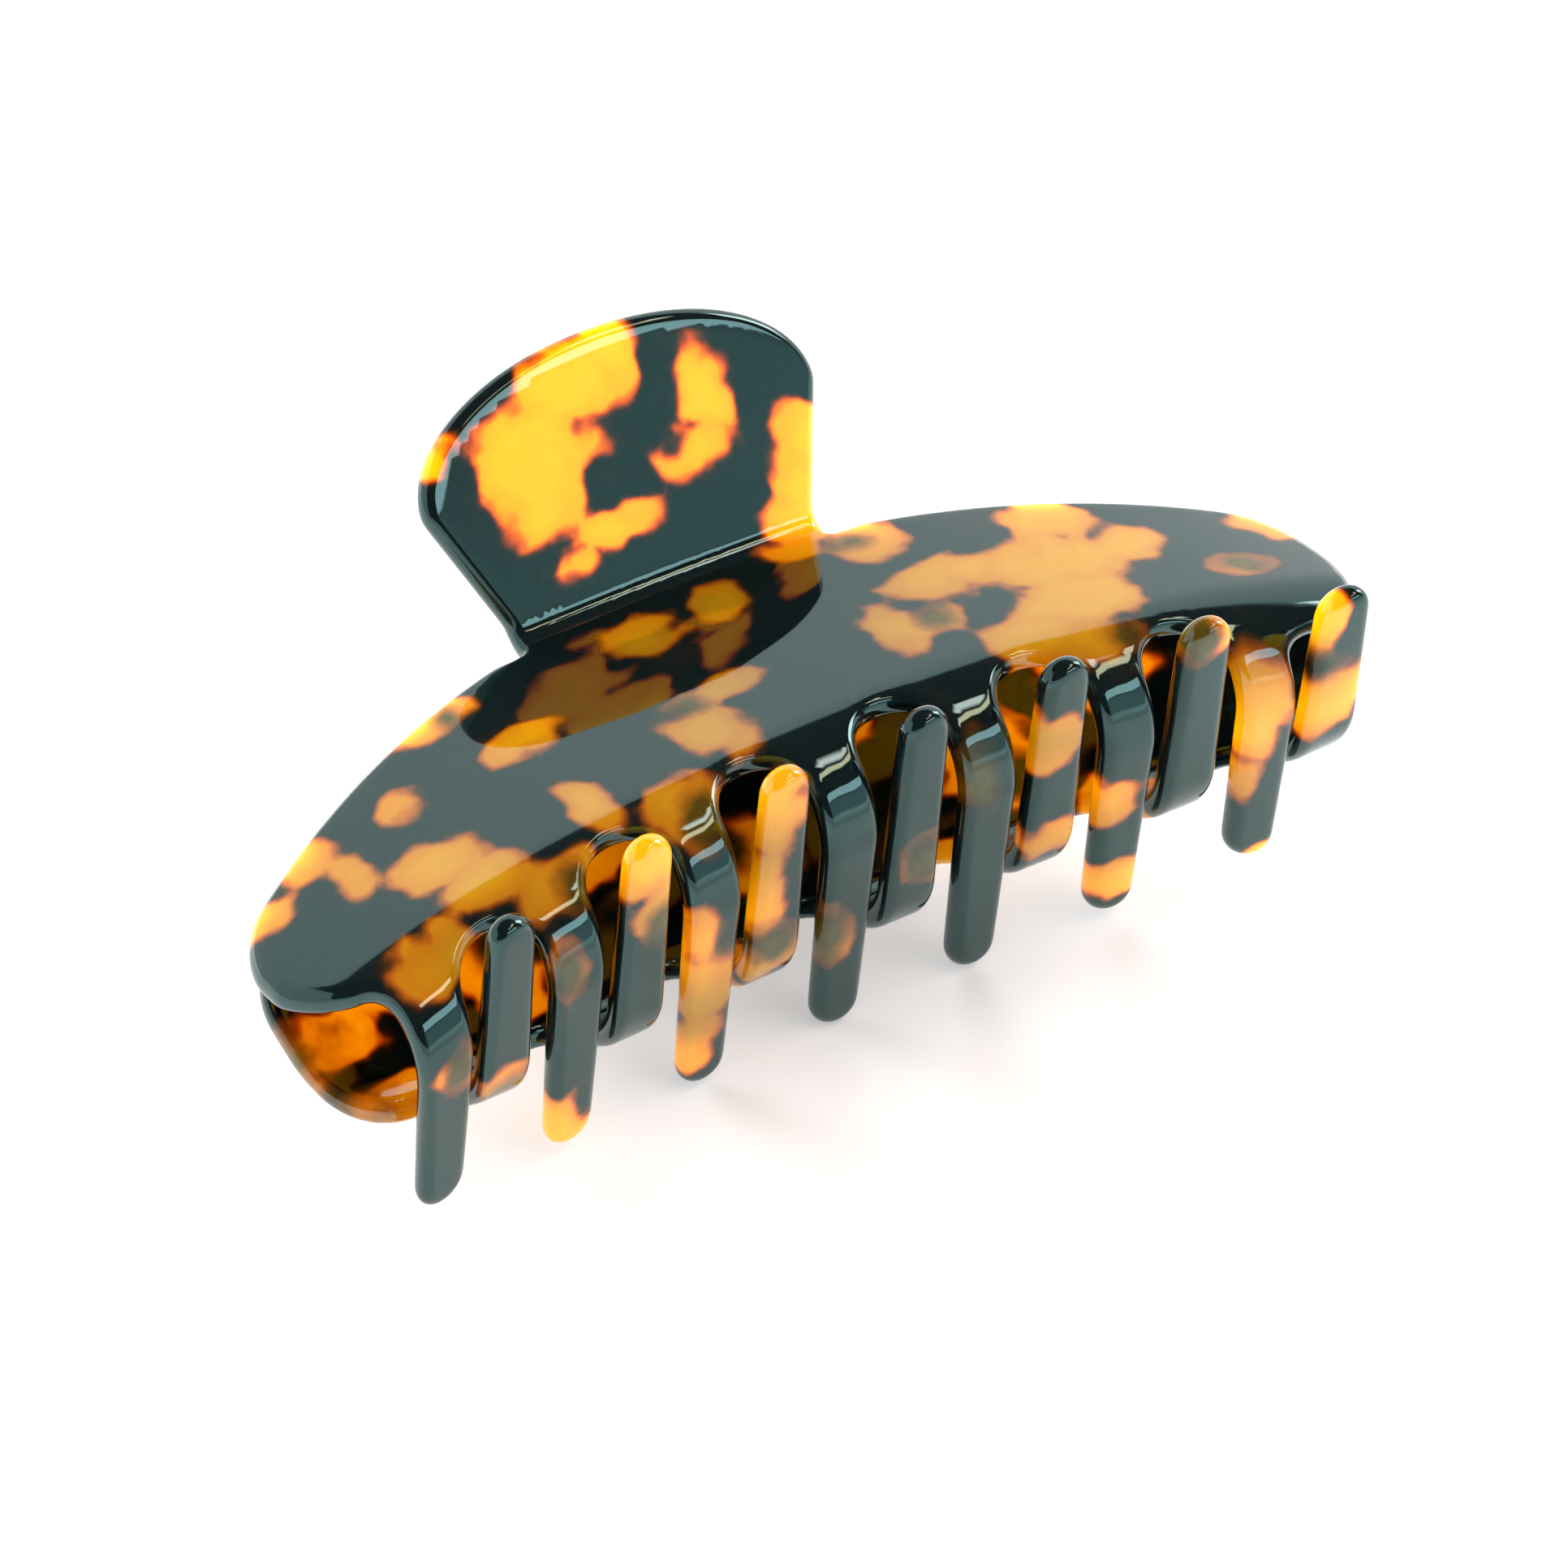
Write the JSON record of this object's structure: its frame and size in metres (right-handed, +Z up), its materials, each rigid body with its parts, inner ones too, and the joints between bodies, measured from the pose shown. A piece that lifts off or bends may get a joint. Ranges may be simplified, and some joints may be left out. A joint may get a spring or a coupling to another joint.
{
  "type": "claw hair clip",
  "caption": "Large sprung claw hair clip: two bent acetate jaws with interlocking teeth, squeezed open by the handles at the back.",
  "frame": {"origin": "middle of the footprint, on the surface the clip lies on (upper jaw's tooth tips and lower handle's end)", "axes": "+X along the clip, +Y towards the handles, +Z up"},
  "size_m": [0.106, 0.0568, 0.0437],
  "materials": {
    "acetate": "gloss",
    "plate_steel": "satin",
    "pin_steel": "satin",
    "spring_steel": "satin"
  },
  "bodies": {
    "lower": {"lower_jaw": "acetate", "lower_hinge_plate": "plate_steel", "lower_plate_screws": "pin_steel", "hinge_pin": "pin_steel", "torsion_spring": "spring_steel"},
    "upper": {"upper_jaw": "acetate", "upper_hinge_plate": "plate_steel", "upper_plate_screws": "pin_steel"}
  },
  "joints": [
    {"name": "jaw_hinge", "type": "hinge", "parent": "lower", "child": "upper", "pos_m": [0, 0.00803, 0.01989], "axis": [-1, 0, 0], "range_deg": [0, 85], "stiffness_Nm_per_rad": 0.2, "springref_deg": -34.38, "deforming": ["torsion_spring"]}
  ]
}
